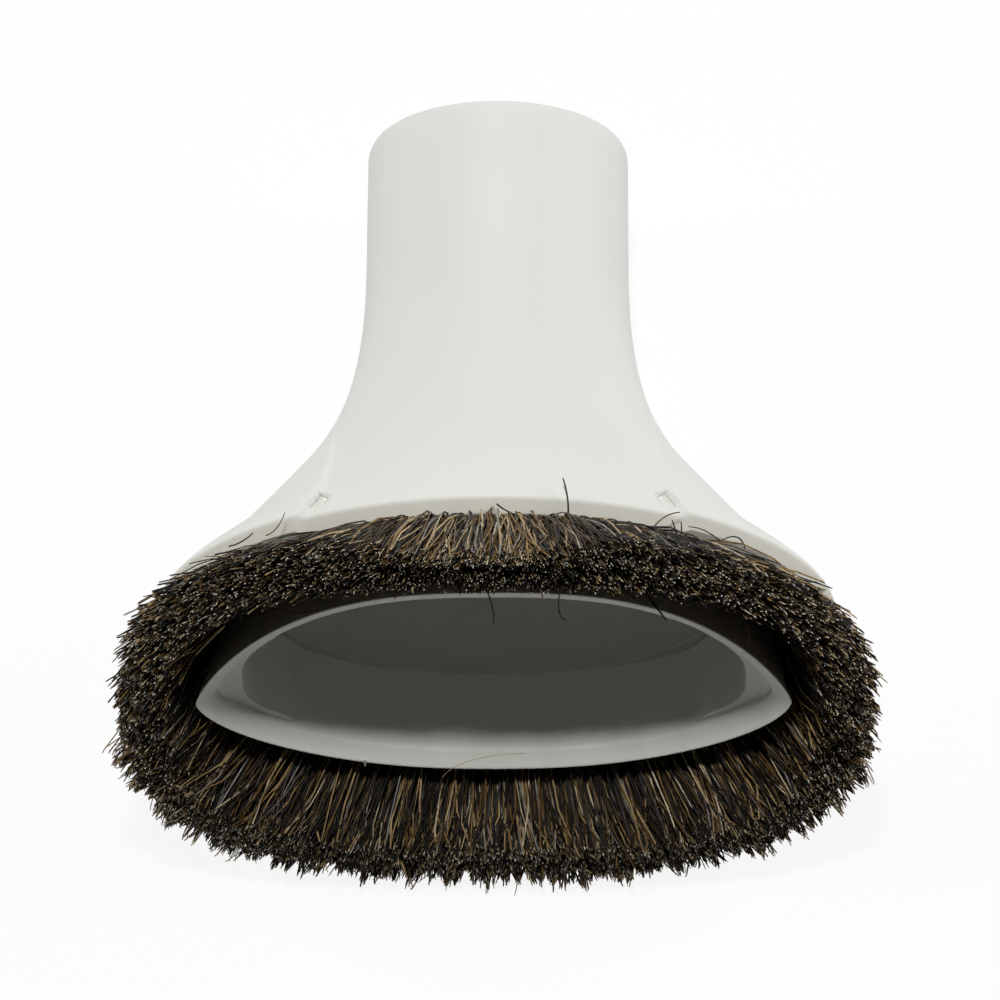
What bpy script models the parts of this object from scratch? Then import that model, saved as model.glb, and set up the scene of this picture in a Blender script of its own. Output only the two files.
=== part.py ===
"""Oval dusting brush for a vacuum cleaner's tube.

A pale plastic hood narrows from an oval mouth to a round neck that pushes onto the tube.
A moulded insert closes the mouth: an oval plate with a lens-shaped suction lip and a row of
blind holes, each holding one tuft of natural hair. Four wedge latches on the plate's edge
snap into four windows in the hood's wall.

The brush lies on its back. X runs across the mouth, +Y runs along the neck away from the
mouth and +Z is up. The mouth's plane leans back, so that the bristles point forwards and up.
"""

import math

import bmesh
import bpy
import numpy as np
from mathutils import Vector

MM = 0.001

# Fits
SEAT_GAP = 0.3 * MM  # between the insert and the hood
HAIR_GAP = 0.2 * MM  # between a tuft and the wall of its hole

# Neck, which pushes onto the end of the tube
NECK_RADIUS = 18.5 * MM
NECK_END = 70.1 * MM  # from the middle of the mouth to the neck's end face
NECK_ROUND_RADIAL = 1.3 * MM
NECK_ROUND_AXIAL = 2.2 * MM
NECK_WALL = 2.3 * MM
SOCKET_RADIUS = NECK_RADIUS - NECK_WALL
SOCKET_NARROWING = 0.3 * MM  # the socket is this much narrower at its foot
SOCKET_DEPTH = 36.0 * MM
SOCKET_LEAD_IN = 0.5 * MM
SOCKET_STOP = 1.8 * MM  # the ledge at the socket's foot, where the tube stops
THROAT_RADIUS = SOCKET_RADIUS - SOCKET_STOP

# Hood
MOUTH_TILT = math.radians(30.0)
MOUTH_HALF_WIDTH = 45.8 * MM
HOOD_WALL = 2.0 * MM
SIDE_EXTRA = 0.5  # of the wall, added across the mouth's two ends, where the side slopes
FLARE_START = 52.3 * MM  # where the round neck begins to widen
WAIST = 20.0 * MM
WAIST_HALF_WIDTH = 25.5 * MM
WAIST_SLOPE = -0.57
SHOULDER = 7.0 * MM
SHOULDER_HALF_WIDTH = 36.8 * MM
SHOULDER_SLOPE = -0.95
RIM_SLOPE = -0.50
TILT_HOLD = 10.0 * MM  # the sections stay parallel to the mouth up to here
FRONT_RISE = 1.0 * MM  # the front wall rises this much towards the mouth
FRONT_RISE_START = 12.0 * MM
MOUTH_HALF_HEIGHT = (NECK_RADIUS + 0.5 * FRONT_RISE) / math.cos(MOUTH_TILT)
RIM_ROUND = 0.7 * MM
SEAT_DEPTH = 4.7 * MM  # of the ledge behind the insert, along the neck
LEDGE = 1.0 * MM
THROAT_BLEND = 21.0 * MM  # where the inner wall leaves the outer wall's shape

# Wings, the two side panels that stand proud of the middle panel
WING_HEIGHT = 0.9 * MM
WING_FADE = 27.0 * MM  # the step dies out here
CREASE_X = 21.6 * MM
CREASE_SPREAD = 4.4 * MM  # the step swings outwards by this much at the mouth
CREASE_SPREAD_START = 13.0 * MM
CREASE_HALF_STEP = math.radians(0.35)
CREASE_END = math.radians(24.0)  # smallest angle of the step round a section
PLAIN_CREASE = math.radians(47.0)
CREASE_RELEASE = 12.0 * MM  # past the step's end, over which the points even out

# Insert
PLATE_FRONT = 0.45 * MM  # below the hood's rim, along the neck
PLATE_BACK = 4.35 * MM
LIP_END_MARGIN = 5.9 * MM  # from the hood's side to the lip's end
LIP_SIDE_MARGIN = 5.5 * MM
LIP_HALF_LENGTH = MOUTH_HALF_WIDTH - LIP_END_MARGIN
LIP_HALF_HEIGHT = MOUTH_HALF_HEIGHT - LIP_SIDE_MARGIN
LIP_WALL = 2.4 * MM
LIP_TIP_WALL = 2.6 * MM
LIP_PROUD = 13.1 * MM  # beyond the mouth's plane, at the middle of the lip
LIP_ARCH = 4.2 * MM  # the lip's two ends reach this much further
LIP_ARCH_POWER = 3.7
LIP_ROOT = 0.3 * MM
LIP_END_DRAFT = 3.1 * MM  # the lip is this much shorter at its root, at each end
LIP_SIDE_DRAFT = 0.4 * MM  # and this much lower
LIP_EDGE = 0.35 * MM
LENS_FULLNESS = 2.5
LENS_POINT = 0.7
POCKET_SHELF = 1.1 * MM  # from the duct's pointed end to the first step of an end pocket
POCKET_TREAD = 1.15 * MM
POCKET_STEPS = 3
POCKET_DEPTH = 1.3 * MM
POCKET_RISER = 1.0 * MM

# Latches and their windows, one pair in front and one behind
WINDOW_SLANT = math.radians(28.0)  # they lean outwards towards the mouth, beside the step
WINDOW_STEP_MARGIN = 0.25 * MM
WINDOW_WIDTH = 2.0 * MM
WINDOW_LENGTH = 3.2 * MM
WINDOW_STATION = 2.6 * MM
LATCH_ROOT = 0.8 * MM
LATCH_SUNK = 0.35 * MM  # its high end lies this far below the hood's face
LATCH_RAMP = 0.9 * MM  # its low end lies this much further in

# Tufts
TUFT_COUNT = 52
HOLE_RADIUS = 1.0 * MM
HOLE_DEPTH = 2.0 * MM
HOLE_TILT = math.radians(32.0)
TRACK_END_MARGIN = 7.9 * MM  # from the hood's side to the last tuft
TRACK_SIDE_MARGIN = 4.3 * MM
TRACK_HALF_LENGTH = MOUTH_HALF_WIDTH - TRACK_END_MARGIN
TRACK_HALF_HEIGHT = MOUTH_HALF_HEIGHT - TRACK_SIDE_MARGIN
TRACK_CENTRE = 0.6 * MM
TIPS_END_FAN = 10.1 * MM  # the tips' outline is this much longer than the holes' oval
TIPS_SIDE_FAN = 11.4 * MM
TIPS_HALF_LENGTH = TRACK_HALF_LENGTH + TIPS_END_FAN
TIPS_HALF_HEIGHT = TRACK_HALF_HEIGHT + TIPS_SIDE_FAN
TIPS_FULLNESS = 2.9  # 2 would be an ellipse
TIPS_REACH = 21.4 * MM  # beyond the mouth's plane
TIP_HALF_DEPTH = 4.0 * MM
TUFT_FILL = 0.43  # of the pitch, for half a tuft's breadth

# Number of points round a quarter of a section and round a tuft
QUARTER_SIDE = 7
TUFT_SIDES = 8
HOLE_SIDES = 10
SHARP_ANGLE = math.radians(35.0)


def clear_scene():
    """Empties the scene that Blender opens with."""
    for thing in list(bpy.data.objects):
        bpy.data.objects.remove(thing, do_unlink=True)


def ease(value):
    """Smoothstep, 3v2 - 2v3 of a value held between 0 and 1."""
    value = min(max(value, 0.0), 1.0)
    return value * value * (3.0 - 2.0 * value)


def hermite(y, start, end):
    """Cubic between two (place, value, slope) waypoints."""
    span = end[0] - start[0]
    s = (y - start[0]) / span
    low = (1.0 + 2.0 * s) * (1.0 - s) ** 2
    high = s * s * (3.0 - 2.0 * s)
    low_slope = s * (1.0 - s) ** 2
    high_slope = s * s * (s - 1.0)
    return (
        low * start[1]
        + high * end[1]
        + span * (low_slope * start[2] + high_slope * end[2])
    )


def half_width(y):
    """The hood's half-width at a station along the neck: a cubic through four waypoints."""
    waypoints = (
        (FLARE_START, NECK_RADIUS, 0.0),
        (WAIST, WAIST_HALF_WIDTH, WAIST_SLOPE),
        (SHOULDER, SHOULDER_HALF_WIDTH, SHOULDER_SLOPE),
        (0.0, MOUTH_HALF_WIDTH, RIM_SLOPE),
    )
    if y >= FLARE_START:
        return NECK_RADIUS
    for start, end in zip(waypoints, waypoints[1:]):
        if y >= end[0]:
            return hermite(y, start, end)
    return MOUTH_HALF_WIDTH + RIM_SLOPE * y


def tilt(y):
    """Lean of the section at a station: the mouth's tilt, easing to none at the neck."""
    return MOUTH_TILT * (1.0 - ease((y - TILT_HOLD) / (FLARE_START - TILT_HOLD)))


def side_stretch(y):
    """How much longer than the wall a cut across the sloping side wall is."""
    return 1.0 + SIDE_EXTRA * (half_width(y) - NECK_RADIUS) / (MOUTH_HALF_WIDTH - NECK_RADIUS)


def section(y, inset=0.0):
    """(half-width, half-height, centre height) of the oval at a station, inset by a wall."""
    rise = FRONT_RISE * max(0.0, 1.0 - y / FRONT_RISE_START) ** 2
    lean = math.cos(tilt(y))
    return (
        half_width(y) - inset * side_stretch(y),
        (NECK_RADIUS + 0.5 * rise - inset) / lean,
        0.5 * rise / lean,
    )


def crease_angle(y):
    """Where the wing's step crosses a section, as an angle round the oval."""
    swing = max(0.0, 1.0 - y / CREASE_SPREAD_START) ** 2
    ratio = (CREASE_X + CREASE_SPREAD * swing) / half_width(y)
    angle = max(math.acos(min(ratio, 1.0)), CREASE_END)
    return angle + (PLAIN_CREASE - angle) * ease((y - WING_FADE) / CREASE_RELEASE)


def round_angles(crease):
    """Angles round a section, with a close pair of points at the step in each quarter."""
    side = np.linspace(0.0, crease - CREASE_HALF_STEP, QUARTER_SIDE + 1)
    front = np.linspace(crease + CREASE_HALF_STEP, 0.5 * math.pi, QUARTER_SIDE + 1)
    quarter = np.concatenate([side, front])
    half = np.concatenate([quarter, math.pi - quarter[-2::-1]])
    return np.concatenate([half, 2.0 * math.pi - half[-2:0:-1]])


def hood_ring(y, inset=0.0, wings=False):
    """Points of one section of the hood: an oval in a leaning plane, with its proud wings."""
    width, height, centre = section(y, inset)
    crease = crease_angle(y)
    angles = round_angles(crease)
    across, up = width * np.cos(angles), height * np.sin(angles)
    if wings:
        proud = WING_HEIGHT * max(0.0, 1.0 - y / WING_FADE)
        outer = np.abs(np.cos(angles)) > math.cos(crease)
        normal = np.stack([height * np.cos(angles), width * np.sin(angles)])
        normal *= proud / np.linalg.norm(normal, axis=0)
        across, up = across + normal[0] * outer, up + normal[1] * outer
    lean = tilt(y)
    up = up + centre
    return np.stack([across, y + up * math.sin(lean), up * math.cos(lean)], axis=1)


def round_ring(y, radius):
    """Points of a plain circle across the neck, at the angles of the section there."""
    angles = round_angles(crease_angle(y))
    return np.stack([radius * np.cos(angles), 0.0 * angles + y, radius * np.sin(angles)], axis=1)


def mouth_points(across, up, out):
    """Points given across and up the mouth's plane and out from it, in the part's axes."""
    across, up, out = np.broadcast_arrays(across, up, out)
    sine, cosine = math.sin(MOUTH_TILT), math.cos(MOUTH_TILT)
    return np.stack([across, up * sine - out * cosine, up * cosine + out * sine], axis=-1)


def skin(rings):
    """Vertices and faces of a closed tube wall through rings, the last joined to the first."""
    count, size = len(rings), len(rings[0])
    vertices = np.concatenate(rings)
    faces = []
    for ring in range(count):
        after = (ring + 1) % count
        for point in range(size):
            beside = (point + 1) % size
            faces.append(
                (
                    ring * size + point,
                    ring * size + beside,
                    after * size + beside,
                    after * size + point,
                )
            )
    return vertices, faces


def hood_rings():
    """The hood's rings: down its outer face from the neck's end, and back up inside."""
    rings = []
    for turn in np.linspace(0.0, 0.5 * math.pi, 4):
        radius = NECK_RADIUS - NECK_ROUND_RADIAL * (1.0 - math.sin(turn))
        rings.append(round_ring(NECK_END - NECK_ROUND_AXIAL * (1.0 - math.cos(turn)), radius))
    rings.append(round_ring(0.5 * (NECK_END + FLARE_START), NECK_RADIUS))
    for y in np.linspace(FLARE_START, SHOULDER, 15):
        rings.append(hood_ring(y, wings=True))
    for y in np.linspace(SHOULDER, RIM_ROUND, 5)[1:]:
        rings.append(hood_ring(y, wings=True))
    rings.append(hood_ring(0.3 * RIM_ROUND, 0.25 * RIM_ROUND, wings=True))
    rings.append(hood_ring(0.0, RIM_ROUND, wings=True))
    rings.append(hood_ring(0.0, HOOD_WALL))
    rings.append(hood_ring(0.5 * SEAT_DEPTH, HOOD_WALL))
    rings.append(hood_ring(SEAT_DEPTH, HOOD_WALL))
    rings.append(hood_ring(SEAT_DEPTH, HOOD_WALL + LEDGE))
    rings.append(hood_ring(SEAT_DEPTH + LEDGE, HOOD_WALL + LEDGE))
    for y in np.linspace(SEAT_DEPTH + 2.0 * LEDGE, THROAT_BLEND, 5):
        rings.append(hood_ring(y, HOOD_WALL))
    foot = NECK_END - SOCKET_DEPTH
    rings.append(round_ring(0.5 * (THROAT_BLEND + foot), 0.5 * (THROAT_RADIUS + NECK_RADIUS - HOOD_WALL)))
    rings.append(round_ring(foot, THROAT_RADIUS))
    rings.append(round_ring(foot, SOCKET_RADIUS - SOCKET_NARROWING))
    rings.append(round_ring(NECK_END - SOCKET_LEAD_IN, SOCKET_RADIUS))
    rings.append(round_ring(NECK_END, SOCKET_RADIUS + SOCKET_LEAD_IN))
    return rings


def lens(length, height, angles, clip=None):
    """A lens outline, h(1 - |x/l|^fullness)^point, with its two ends cut off at clip."""
    share = np.abs(np.cos(angles))
    across = length * np.cos(angles)
    up = height * (1.0 - np.minimum(share, 1.0) ** LENS_FULLNESS) ** LENS_POINT
    up = up * np.sign(np.sin(angles))
    if clip is not None:
        corner = math.acos(clip / length)
        corner_up = height * (1.0 - (clip / length) ** LENS_FULLNESS) ** LENS_POINT
        beyond = np.abs(across) > clip
        up = np.where(beyond, corner_up * np.sin(angles) / math.sin(corner), up)
        across = np.clip(across, -clip, clip)
    return across, up


def lip_reach(across):
    """How far the lip stands out at a place along it: an arch, longest at its two ends."""
    return LIP_PROUD + LIP_ARCH * np.abs(across / LIP_HALF_LENGTH) ** LIP_ARCH_POWER


def insert_rings():
    """The insert's rings: the plate, up the lip, over its rim and down the stepped duct."""
    count = 4 * (2 * QUARTER_SIDE + 1)
    angles = np.arange(count) * 2.0 * math.pi / count
    centre = section(0.0)[2]
    face = -PLATE_FRONT * math.cos(MOUTH_TILT)
    back = -PLATE_BACK * math.cos(MOUTH_TILT)

    def edge(station):
        width, height, middle = section(station, HOOD_WALL + SEAT_GAP)
        up = station * math.sin(MOUTH_TILT) + middle + height * np.sin(angles)
        out = -station * math.cos(MOUTH_TILT)
        return mouth_points(width * np.cos(angles), up, out)

    def lip(grow, tip_grow, drop):
        across, up = lens(LIP_HALF_LENGTH + tip_grow, LIP_HALF_HEIGHT + grow, angles)
        return mouth_points(across, centre + up, lip_reach(across) - drop)

    def root(grow, out):
        length = LIP_HALF_LENGTH - LIP_END_DRAFT + grow
        across, up = lens(length, LIP_HALF_HEIGHT - LIP_SIDE_DRAFT + grow, angles)
        return mouth_points(across, centre + up, out)

    inner_length = LIP_HALF_LENGTH - LIP_TIP_WALL
    inner_height = LIP_HALF_HEIGHT - LIP_WALL

    def duct(clip, out):
        across, up = lens(inner_length, inner_height, angles, clip)
        return mouth_points(across, centre + up, out)

    def pocket(clip, depth):
        across, up = lens(inner_length, inner_height, angles, clip)
        start = LIP_PROUD + LIP_ARCH * (inner_length / LIP_HALF_LENGTH) ** LIP_ARCH_POWER
        level = np.minimum(start - depth, lip_reach(across) - LIP_EDGE - 0.3 * depth)
        return mouth_points(across, centre + up, level)

    rings = [
        edge(PLATE_BACK),
        edge(0.5 * (PLATE_BACK + PLATE_FRONT)),
        edge(PLATE_FRONT),
        root(LIP_ROOT, face),
        root(0.0, face + LIP_ROOT),
        lip(0.0, 0.0, LIP_EDGE),
        lip(-LIP_EDGE, -LIP_EDGE, 0.0),
        lip(LIP_EDGE - LIP_WALL, LIP_EDGE - LIP_TIP_WALL, 0.0),
        lip(-LIP_WALL, -LIP_TIP_WALL, LIP_EDGE),
    ]
    clip = inner_length - POCKET_SHELF
    depth = POCKET_DEPTH
    rings.append(pocket(None, depth))
    rings.append(pocket(clip, depth))
    for _ in range(POCKET_STEPS - 1):
        depth += POCKET_RISER
        rings.append(pocket(clip, depth))
        clip -= POCKET_TREAD
        rings.append(pocket(clip, depth))
    rings.append(duct(clip, back))
    return rings


def add_material(name, colour, roughness):
    """A plain Principled material."""
    material = bpy.data.materials.new(name)
    material.use_nodes = True
    shader = material.node_tree.nodes["Principled BSDF"]
    shader.inputs["Base Color"].default_value = (*colour, 1.0)
    shader.inputs["Roughness"].default_value = roughness
    shader.inputs["Metallic"].default_value = 0.0
    return material


def add_object(name, vertices, faces, material, shift):
    """A mesh object from points and faces, moved to its place, with doubles merged."""
    mesh = bpy.data.meshes.new(name)
    mesh.from_pydata([tuple(v) for v in np.asarray(vertices) + shift], [], faces)
    work = bmesh.new()
    work.from_mesh(mesh)
    bmesh.ops.remove_doubles(work, verts=work.verts, dist=1e-6)
    bmesh.ops.recalc_face_normals(work, faces=work.faces)
    work.to_mesh(mesh)
    work.free()
    if material is not None:
        mesh.materials.append(material)
    mesh.shade_smooth()
    mesh.set_sharp_from_angle(angle=SHARP_ANGLE)
    thing = bpy.data.objects.new(name, mesh)
    bpy.context.scene.collection.objects.link(thing)
    return thing


def add_cutter(name, vertices, faces, shift):
    """A hidden tool body for a Boolean."""
    cutter = add_object(name, vertices, faces, None, shift)
    cutter.hide_render = True
    cutter.display_type = "WIRE"
    return cutter


def combine(target, tool, operation):
    """Adds a Boolean that cuts or joins with a tool body."""
    modifier = target.modifiers.new(tool.name, "BOOLEAN")
    modifier.operation = operation
    modifier.object = tool
    modifier.solver = "EXACT"


def window_frames():
    """(middle of the wall, breadthways, outwards, lengthways) of each window.

    A window lies beside the wings' step and slants with it. Outwards is the oval's own
    normal, so that the window goes through the wall within its leaning section.
    """
    width, height, centre = section(WINDOW_STATION, 0.5 * HOOD_WALL)
    step = half_width(WINDOW_STATION) * math.cos(crease_angle(WINDOW_STATION))
    beside = step - WINDOW_STEP_MARGIN - 0.5 * WINDOW_WIDTH / math.cos(WINDOW_SLANT)
    lean = math.cos(MOUTH_TILT)
    frames = []
    for side in (1.0, -1.0):
        for face in (1.0, -1.0):
            rise = face * math.sqrt(1.0 - (beside / width) ** 2)
            up = centre + height * rise
            place = Vector((side * beside, WINDOW_STATION + up * math.sin(MOUTH_TILT), up * lean))
            curve = Vector((side * width * abs(rise), 0.0, -face * height * lean * beside / width))
            curve.normalize()
            neck = Vector((0.0, 1.0, 0.0))
            lengthways = neck * math.cos(WINDOW_SLANT) - curve * math.sin(WINDOW_SLANT)
            breadthways = curve * math.cos(WINDOW_SLANT) + neck * math.sin(WINDOW_SLANT)
            across, above = side * height * beside / width, width * rise
            outwards = Vector((across, above * math.sin(MOUTH_TILT), above * lean)).normalized()
            frames.append((place, breadthways, outwards, lengthways))
    return frames


def box_faces(first):
    """Six faces of a box whose eight corners start at an index."""
    sides = ((0, 1, 3, 2), (4, 6, 7, 5), (0, 4, 5, 1), (2, 3, 7, 6), (0, 2, 6, 4), (1, 5, 7, 3))
    return [tuple(first + corner for corner in side) for side in sides]


def window_bodies():
    """The window cutters: a block through the hood's wall at each window."""
    vertices, faces = [], []
    for place, breadthways, outwards, lengthways in window_frames():
        first = len(vertices)
        for a in (-0.5, 0.5):
            for b in (-1.5, 1.5):
                for c in (-0.5, 0.5):
                    corner = place + breadthways * (a * WINDOW_WIDTH) + outwards * (b * HOOD_WALL)
                    vertices.append(corner + lengthways * (c * WINDOW_LENGTH))
        faces += box_faces(first)
    return np.array([tuple(v) for v in vertices]), faces


def latch_bodies():
    """The latches: a wedge in each window, highest at the end nearest the mouth."""
    vertices, faces = [], []
    half_wall = 0.5 * HOOD_WALL
    low = -half_wall - SEAT_GAP - LATCH_ROOT
    for place, breadthways, outwards, lengthways in window_frames():
        first = len(vertices)
        for a in (-0.5, 0.5):
            for inner in (True, False):
                for c in (-0.5, 0.5):
                    ramp = LATCH_RAMP * (c + 0.5)
                    height = low if inner else half_wall - LATCH_SUNK - ramp
                    corner = place + breadthways * (a * (WINDOW_WIDTH - 2.0 * SEAT_GAP))
                    corner = corner + outwards * height
                    vertices.append(corner + lengthways * (c * (WINDOW_LENGTH - 2.0 * SEAT_GAP)))
        faces += box_faces(first)
    return np.array([tuple(v) for v in vertices]), faces


def oval_places(length, height, fullness):
    """Places of the tufts, spaced evenly round a full oval with none on its ends, and their pitch.

    The oval is |x/length|^fullness + |y/height|^fullness = 1.
    """
    fine = np.linspace(0.0, 2.0 * math.pi, 2881)
    power = 2.0 / fullness
    across = length * np.sign(np.cos(fine)) * np.abs(np.cos(fine)) ** power
    up = height * np.sign(np.sin(fine)) * np.abs(np.sin(fine)) ** power
    run = np.concatenate([[0.0], np.cumsum(np.hypot(np.diff(across), np.diff(up)))])
    spots = (np.arange(TUFT_COUNT) + 0.5) / TUFT_COUNT * run[-1]
    places = np.stack([np.interp(spots, run, across), np.interp(spots, run, up)], axis=1)
    return places + [0.0, TRACK_CENTRE], run[-1] / TUFT_COUNT


def tuft_track():
    """The tuft holes' places and outward directions in the mouth's plane, and their pitch."""
    places, pitch = oval_places(TRACK_HALF_LENGTH, TRACK_HALF_HEIGHT, 2.0)
    from_centre = places - [0.0, TRACK_CENTRE]
    normals = from_centre / [TRACK_HALF_LENGTH**2, TRACK_HALF_HEIGHT**2]
    normals /= np.linalg.norm(normals, axis=1)[:, None]
    return places, normals, pitch


def hole_bodies():
    """The hole cutters: a short round peg at each tuft, leaning outwards."""
    places, normals, _ = tuft_track()
    face = -PLATE_FRONT * math.cos(MOUTH_TILT)
    turns = np.arange(HOLE_SIDES) * 2.0 * math.pi / HOLE_SIDES
    vertices, faces = [], []
    for place, normal in zip(places, normals):
        first = sum(len(v) for v in vertices)
        for depth in (HOLE_DEPTH, -HOLE_RADIUS):
            vertices.append(
                tuft_ring(place, normal, -depth, face, HOLE_RADIUS, HOLE_RADIUS, turns)
            )
        for side in range(HOLE_SIDES):
            beside = (side + 1) % HOLE_SIDES
            faces.append(
                (first + side, first + beside, first + HOLE_SIDES + beside, first + HOLE_SIDES + side)
            )
        faces.append(tuple(first + side for side in range(HOLE_SIDES)))
        faces.append(tuple(first + HOLE_SIDES + side for side in range(HOLE_SIDES)))
    return np.concatenate(vertices), faces


def tuft_ring(place, normal, along, face, radial, breadth, turns):
    """A ring across a leaning hole's axis, at a distance along it from the plate's face."""
    tangent = np.array([-normal[1], normal[0]])
    lean_out, lean_up = math.sin(HOLE_TILT), math.cos(HOLE_TILT)
    outward = along * lean_out + radial * lean_up * np.cos(turns)
    out = face + along * lean_up - radial * lean_out * np.cos(turns)
    flat = place + normal * outward[:, None] + tangent * (breadth * np.sin(turns))[:, None]
    return mouth_points(flat[:, 0], flat[:, 1], out)


def tuft_bodies():
    """Each tuft's vertices and faces: a round root in its hole that fans out to its tip.

    Past the plate's face the middle line is a cubic that leaves along the hole and ends at
    a point on the oval of tips. The cross-section grows from a circle to a long oval.
    """
    places, normals, pitch = tuft_track()
    tips, tip_pitch = oval_places(TIPS_HALF_LENGTH, TIPS_HALF_HEIGHT, TIPS_FULLNESS)
    face = -PLATE_FRONT * math.cos(MOUTH_TILT)
    turns = np.arange(TUFT_SIDES) * 2.0 * math.pi / TUFT_SIDES
    root = HOLE_RADIUS - HAIR_GAP
    bodies = []
    for place, normal, tip in zip(places, normals, tips):
        start = np.array([*place, face])
        end = np.array([*tip, TIPS_REACH])
        leave = np.array(
            [*(normal * math.sin(HOLE_TILT)), math.cos(HOLE_TILT)]
        ) * np.linalg.norm(end - start)
        arrive = end - start
        rings = [
            tuft_ring(place, normal, -(HOLE_DEPTH - HAIR_GAP), face, root, root, turns),
            tuft_ring(place, normal, 0.0, face, root, root, turns),
        ]
        for share, growth in ((0.14, 0.10), (0.5, 0.55), (1.0, 1.0)):
            low = (1.0 + 2.0 * share) * (1.0 - share) ** 2
            point = low * start + (1.0 - low) * end
            point = point + share * (1.0 - share) ** 2 * leave
            point = point + share * share * (share - 1.0) * arrive
            heading = 6.0 * share * (1.0 - share) * (end - start)
            heading = heading + (1.0 - 4.0 * share + 3.0 * share**2) * leave
            heading = heading + (3.0 * share**2 - 2.0 * share) * arrive
            heading = heading / np.linalg.norm(heading)
            breadthways = np.array([-normal[1], normal[0], 0.0])
            deepways = np.cross(breadthways, heading)
            deepways = deepways / np.linalg.norm(deepways)
            breadth = root + (TUFT_FILL * (pitch + (tip_pitch - pitch) * share) - root) * min(
                1.0, 3.0 * growth
            )
            depth = root + (TIP_HALF_DEPTH - root) * growth
            flat = (
                point
                + deepways * (depth * np.cos(turns))[:, None]
                + breadthways * (breadth * np.sin(turns))[:, None]
            )
            rings.append(mouth_points(flat[:, 0], flat[:, 1], flat[:, 2]))
        vertices = np.concatenate(rings)
        faces = []
        for ring in range(len(rings) - 1):
            for side in range(TUFT_SIDES):
                beside = (side + 1) % TUFT_SIDES
                low, high = ring * TUFT_SIDES, (ring + 1) * TUFT_SIDES
                faces.append((low + side, low + beside, high + beside, high + side))
        faces.append(tuple(range(TUFT_SIDES)))
        faces.append(tuple(range(len(vertices) - TUFT_SIDES, len(vertices))))
        bodies.append((vertices, faces))
    return bodies


def main():
    """Makes the hood, the insert and the tufts, and stands them on their lowest points."""
    clear_scene()
    plastic = add_material("pale_grey_plastic", (0.72, 0.72, 0.68), 0.42)
    lip_plastic = add_material("insert_plastic", (0.66, 0.65, 0.60), 0.45)
    hair = add_material("natural_hair", (0.035, 0.025, 0.014), 0.6)

    hood = skin(hood_rings())
    insert = skin(insert_rings())
    tufts = tuft_bodies()
    every = np.concatenate([hood[0], insert[0]] + [tuft[0] for tuft in tufts])
    low, high = every.min(axis=0), every.max(axis=0)
    shift = np.array([-0.5 * (low[0] + high[0]), -0.5 * (low[1] + high[1]), -low[2]])

    nozzle = add_object("nozzle_hood", *hood, plastic, shift)
    combine(nozzle, add_cutter("window_cutter", *window_bodies(), shift), "DIFFERENCE")
    carrier = add_object("lip_insert", *insert, lip_plastic, shift)
    combine(carrier, add_cutter("latch_tool", *latch_bodies(), shift), "UNION")
    combine(carrier, add_cutter("hole_cutter", *hole_bodies(), shift), "DIFFERENCE")
    for number, (vertices, faces) in enumerate(tufts, start=1):
        add_object(f"tuft_{number:02d}", vertices, faces, hair, shift)


main()
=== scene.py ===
"""Looks of the oval dusting brush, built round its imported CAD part.

The hood and the insert get finer skins from the same section formulas as the solids, and
every tuft gets its own strands of hair. Lengths are in metres.
"""

import math

import bmesh
import bpy
import numpy as np
from mathutils import Matrix, Vector


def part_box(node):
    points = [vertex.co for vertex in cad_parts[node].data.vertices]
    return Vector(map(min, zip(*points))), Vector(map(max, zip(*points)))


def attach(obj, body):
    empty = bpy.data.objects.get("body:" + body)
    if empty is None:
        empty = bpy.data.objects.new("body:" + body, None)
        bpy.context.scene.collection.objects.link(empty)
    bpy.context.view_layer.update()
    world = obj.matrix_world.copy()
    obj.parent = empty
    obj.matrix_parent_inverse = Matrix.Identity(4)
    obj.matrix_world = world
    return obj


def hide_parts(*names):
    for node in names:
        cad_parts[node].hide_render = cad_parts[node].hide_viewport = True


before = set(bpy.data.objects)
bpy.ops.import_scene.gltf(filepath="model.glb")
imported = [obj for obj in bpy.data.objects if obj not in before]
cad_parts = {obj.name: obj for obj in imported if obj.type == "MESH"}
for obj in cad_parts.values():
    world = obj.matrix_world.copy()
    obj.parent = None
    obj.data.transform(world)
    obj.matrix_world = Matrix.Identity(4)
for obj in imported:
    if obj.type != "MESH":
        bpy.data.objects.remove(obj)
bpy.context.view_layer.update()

MM = 0.001
SEED = 20

# Hood, as the solid has it
NECK_RADIUS = 18.5 * MM
NECK_END = 70.1 * MM
NECK_ROUND_RADIAL = 1.3 * MM
NECK_ROUND_AXIAL = 2.2 * MM
NECK_WALL = 2.3 * MM
SOCKET_RADIUS = NECK_RADIUS - NECK_WALL
SOCKET_NARROWING = 0.3 * MM
SOCKET_DEPTH = 36.0 * MM
SOCKET_LEAD_IN = 0.5 * MM
SOCKET_STOP = 1.8 * MM
THROAT_RADIUS = SOCKET_RADIUS - SOCKET_STOP
MOUTH_TILT = math.radians(30.0)
MOUTH_HALF_WIDTH = 45.8 * MM
HOOD_WALL = 2.0 * MM
SIDE_EXTRA = 0.5
FLARE_START = 52.3 * MM
WAIST = 20.0 * MM
WAIST_HALF_WIDTH = 25.5 * MM
WAIST_SLOPE = -0.57
SHOULDER = 7.0 * MM
SHOULDER_HALF_WIDTH = 36.8 * MM
SHOULDER_SLOPE = -0.95
RIM_SLOPE = -0.50
TILT_HOLD = 10.0 * MM
FRONT_RISE = 1.0 * MM
FRONT_RISE_START = 12.0 * MM
MOUTH_HALF_HEIGHT = (NECK_RADIUS + 0.5 * FRONT_RISE) / math.cos(MOUTH_TILT)
RIM_BAND = 1.3 * MM
RIM_DROP = 1.35 * MM
RIM_ROUND = 0.35 * MM
RIM_EDGE = 0.25 * MM
SEAT_GAP = 0.3 * MM
SEAT_DEPTH = 4.7 * MM
LEDGE = 1.0 * MM
THROAT_BLEND = 21.0 * MM
WING_HEIGHT = 0.9 * MM
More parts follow.
